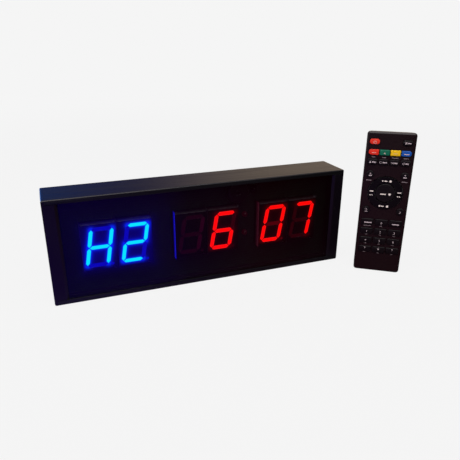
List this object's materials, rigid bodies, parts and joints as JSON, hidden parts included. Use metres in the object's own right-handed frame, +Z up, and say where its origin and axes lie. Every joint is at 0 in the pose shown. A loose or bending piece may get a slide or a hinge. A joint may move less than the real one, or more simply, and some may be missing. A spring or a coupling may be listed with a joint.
{
  "type": "gym timer with remote control",
  "caption": "Tabletop or wall-hung LED interval timer: slim black case with tinted window and two-colour seven-segment digits, with an upright handheld remote control beside it.",
  "frame": {"origin": "centre of the timer's base face, midway between its front and back planes", "axes": "+X to the right along the timer's length as its window is read, -Y out of the window, +Z up; the remote stands on the same plane, turned 35.2 degrees clockwise from above"},
  "size_m": [0.3392, 0.0913, 0.1425],
  "materials": {
    "case_black": "black anodised, brushed along its length",
    "cap_black": "moulded, satin",
    "screw_steel": "zinc plated",
    "window_tint": "dark tinted acrylic, polished",
    "board_green": "solder mask",
    "module_black": "satin black face",
    "lamp_red": "diffused red epoxy",
    "receiver_black": "infrared-clear epoxy",
    "segment_blue": "lit blue segment",
    "segment_red": "lit red segment",
    "segment_unlit": "unlit segment epoxy",
    "remote_black": "fine spark-eroded texture",
    "battery_jacket": "printed sleeve",
    "emitter_dark": "infrared-clear epoxy",
    "key_rubber": "moulded silicone",
    "key_black": "satin",
    "key_red": "satin",
    "key_green": "satin",
    "key_yellow": "satin",
    "key_blue": "satin",
    "legend_white": "pad-printed legends"
  },
  "bodies": {
    "display_unit": {"case_extrusion": "case_black", "end_cap_left": "cap_black", "end_cap_right": "cap_black", "end_cap_screw_left_top": "screw_steel", "end_cap_screw_left_bottom": "screw_steel", "end_cap_screw_right_top": "screw_steel", "end_cap_screw_right_bottom": "screw_steel", "front_window": "window_tint", "display_board": "board_green", "digit_1": "module_black", "digit_2": "module_black", "digit_3": "module_black", "digit_4": "module_black", "digit_5": "module_black", "digit_6": "module_black", "colon_lamp_upper": "lamp_red", "colon_lamp_lower": "lamp_red", "buzzer": "cap_black", "infrared_receiver": "receiver_black", "power_socket": "cap_black"},
    "handset": {"remote_top_case": "remote_black", "remote_bottom_case": "remote_black", "remote_circuit_board": "board_green", "remote_key_mat": "key_rubber", "remote_emitter": "emitter_dark", "battery_left": "battery_jacket", "battery_right": "battery_jacket", "battery_bridge": "screw_steel", "battery_contact": "screw_steel", "battery_spring": "screw_steel"},
    "battery_door": {"battery_door": "remote_black"},
    "nav_pad": {"nav_pad": "key_rubber"},
    "nav_ring": {"nav_ring": "key_black"},
    "power_key": {"power_key": "key_red"},
    "edit_key": {"edit_key": "key_black"},
    "red_key": {"red_key": "key_red"},
    "green_key": {"green_key": "key_green"},
    "yellow_key": {"yellow_key": "key_yellow"},
    "blue_key": {"blue_key": "key_blue"},
    "mode_key_1": {"mode_key_1": "key_black"},
    "mode_key_2": {"mode_key_2": "key_black"},
    "mode_key_3": {"mode_key_3": "key_black"},
    "mode_key_4": {"mode_key_4": "key_black"},
    "up_key": {"up_key": "key_black"},
    "down_key": {"down_key": "key_black"},
    "enter_key": {"enter_key": "key_black"},
    "home_key": {"home_key": "key_black"},
    "mute_key": {"mute_key": "key_black"},
    "left_function_key": {"left_function_key": "key_black"},
    "key_0": {"key_0": "key_black"},
    "right_function_key": {"right_function_key": "key_black"},
    "key_1": {"key_1": "key_black"},
    "key_2": {"key_2": "key_black"},
    "key_3": {"key_3": "key_black"},
    "key_4": {"key_4": "key_black"},
    "key_5": {"key_5": "key_black"},
    "key_6": {"key_6": "key_black"},
    "key_7": {"key_7": "key_black"},
    "key_8": {"key_8": "key_black"},
    "key_9": {"key_9": "key_black"}
  },
  "joints": [
    {"name": "remote_lift", "type": "slide", "parent": "display_unit", "child": "handset", "axis": [0, 0, 1], "range_m": [0, 0.15]},
    {"name": "battery_door_tilt", "type": "hinge", "parent": "handset", "child": "battery_door", "pos_m": [0.17722, -0.04467, 0.0161], "axis": [-0.8171, 0.5764, 0], "range_deg": [0, 75]},
    {"name": "nav_pad_tilt", "type": "hinge", "parent": "handset", "child": "nav_pad", "pos_m": [0.16814, -0.05754, 0.08375], "axis": [0, 0, 1], "range_deg": [-3, 3], "stiffness_Nm_per_rad": 0.2},
    {"name": "nav_ring_tilt", "type": "hinge", "parent": "nav_pad", "child": "nav_ring", "pos_m": [0.16814, -0.05754, 0.08375], "axis": [0.8171, -0.5764, 0], "range_deg": [-3, 3], "stiffness_Nm_per_rad": 0.2},
    {"name": "power_key_press", "type": "slide", "parent": "handset", "child": "power_key", "axis": [0.5764, 0.8171, 0], "range_m": [0, 0.0008], "stiffness_N_per_m": 500},
    {"name": "edit_key_press", "type": "slide", "parent": "handset", "child": "edit_key", "axis": [0.5764, 0.8171, 0], "range_m": [0, 0.0008], "stiffness_N_per_m": 500},
    {"name": "red_key_press", "type": "slide", "parent": "handset", "child": "red_key", "axis": [0.5764, 0.8171, 0], "range_m": [0, 0.0008], "stiffness_N_per_m": 500},
    {"name": "green_key_press", "type": "slide", "parent": "handset", "child": "green_key", "axis": [0.5764, 0.8171, 0], "range_m": [0, 0.0008], "stiffness_N_per_m": 500},
    {"name": "yellow_key_press", "type": "slide", "parent": "handset", "child": "yellow_key", "axis": [0.5764, 0.8171, 0], "range_m": [0, 0.0008], "stiffness_N_per_m": 500},
    {"name": "blue_key_press", "type": "slide", "parent": "handset", "child": "blue_key", "axis": [0.5764, 0.8171, 0], "range_m": [0, 0.0008], "stiffness_N_per_m": 500},
    {"name": "mode_key_1_press", "type": "slide", "parent": "handset", "child": "mode_key_1", "axis": [0.5764, 0.8171, 0], "range_m": [0, 0.0008], "stiffness_N_per_m": 500},
    {"name": "mode_key_2_press", "type": "slide", "parent": "handset", "child": "mode_key_2", "axis": [0.5764, 0.8171, 0], "range_m": [0, 0.0008], "stiffness_N_per_m": 500},
    {"name": "mode_key_3_press", "type": "slide", "parent": "handset", "child": "mode_key_3", "axis": [0.5764, 0.8171, 0], "range_m": [0, 0.0008], "stiffness_N_per_m": 500},
    {"name": "mode_key_4_press", "type": "slide", "parent": "handset", "child": "mode_key_4", "axis": [0.5764, 0.8171, 0], "range_m": [0, 0.0008], "stiffness_N_per_m": 500},
    {"name": "up_key_press", "type": "slide", "parent": "handset", "child": "up_key", "axis": [0.5764, 0.8171, 0], "range_m": [0, 0.0008], "stiffness_N_per_m": 500},
    {"name": "down_key_press", "type": "slide", "parent": "handset", "child": "down_key", "axis": [0.5764, 0.8171, 0], "range_m": [0, 0.0008], "stiffness_N_per_m": 500},
    {"name": "enter_key_press", "type": "slide", "parent": "handset", "child": "enter_key", "axis": [0.5764, 0.8171, 0], "range_m": [0, 0.0008], "stiffness_N_per_m": 500},
    {"name": "home_key_press", "type": "slide", "parent": "handset", "child": "home_key", "axis": [0.5764, 0.8171, 0], "range_m": [0, 0.0008], "stiffness_N_per_m": 500},
    {"name": "mute_key_press", "type": "slide", "parent": "handset", "child": "mute_key", "axis": [0.5764, 0.8171, 0], "range_m": [0, 0.0008], "stiffness_N_per_m": 500},
    {"name": "left_function_key_press", "type": "slide", "parent": "handset", "child": "left_function_key", "axis": [0.5764, 0.8171, 0], "range_m": [0, 0.0008], "stiffness_N_per_m": 500},
    {"name": "key_0_press", "type": "slide", "parent": "handset", "child": "key_0", "axis": [0.5764, 0.8171, 0], "range_m": [0, 0.0008], "stiffness_N_per_m": 500},
    {"name": "right_function_key_press", "type": "slide", "parent": "handset", "child": "right_function_key", "axis": [0.5764, 0.8171, 0], "range_m": [0, 0.0008], "stiffness_N_per_m": 500},
    {"name": "key_1_press", "type": "slide", "parent": "handset", "child": "key_1", "axis": [0.5764, 0.8171, 0], "range_m": [0, 0.0008], "stiffness_N_per_m": 500},
    {"name": "key_2_press", "type": "slide", "parent": "handset", "child": "key_2", "axis": [0.5764, 0.8171, 0], "range_m": [0, 0.0008], "stiffness_N_per_m": 500},
    {"name": "key_3_press", "type": "slide", "parent": "handset", "child": "key_3", "axis": [0.5764, 0.8171, 0], "range_m": [0, 0.0008], "stiffness_N_per_m": 500},
    {"name": "key_4_press", "type": "slide", "parent": "handset", "child": "key_4", "axis": [0.5764, 0.8171, 0], "range_m": [0, 0.0008], "stiffness_N_per_m": 500},
    {"name": "key_5_press", "type": "slide", "parent": "handset", "child": "key_5", "axis": [0.5764, 0.8171, 0], "range_m": [0, 0.0008], "stiffness_N_per_m": 500},
    {"name": "key_6_press", "type": "slide", "parent": "handset", "child": "key_6", "axis": [0.5764, 0.8171, 0], "range_m": [0, 0.0008], "stiffness_N_per_m": 500},
    {"name": "key_7_press", "type": "slide", "parent": "handset", "child": "key_7", "axis": [0.5764, 0.8171, 0], "range_m": [0, 0.0008], "stiffness_N_per_m": 500},
    {"name": "key_8_press", "type": "slide", "parent": "handset", "child": "key_8", "axis": [0.5764, 0.8171, 0], "range_m": [0, 0.0008], "stiffness_N_per_m": 500},
    {"name": "key_9_press", "type": "slide", "parent": "handset", "child": "key_9", "axis": [0.5764, 0.8171, 0], "range_m": [0, 0.0008], "stiffness_N_per_m": 500}
  ]
}
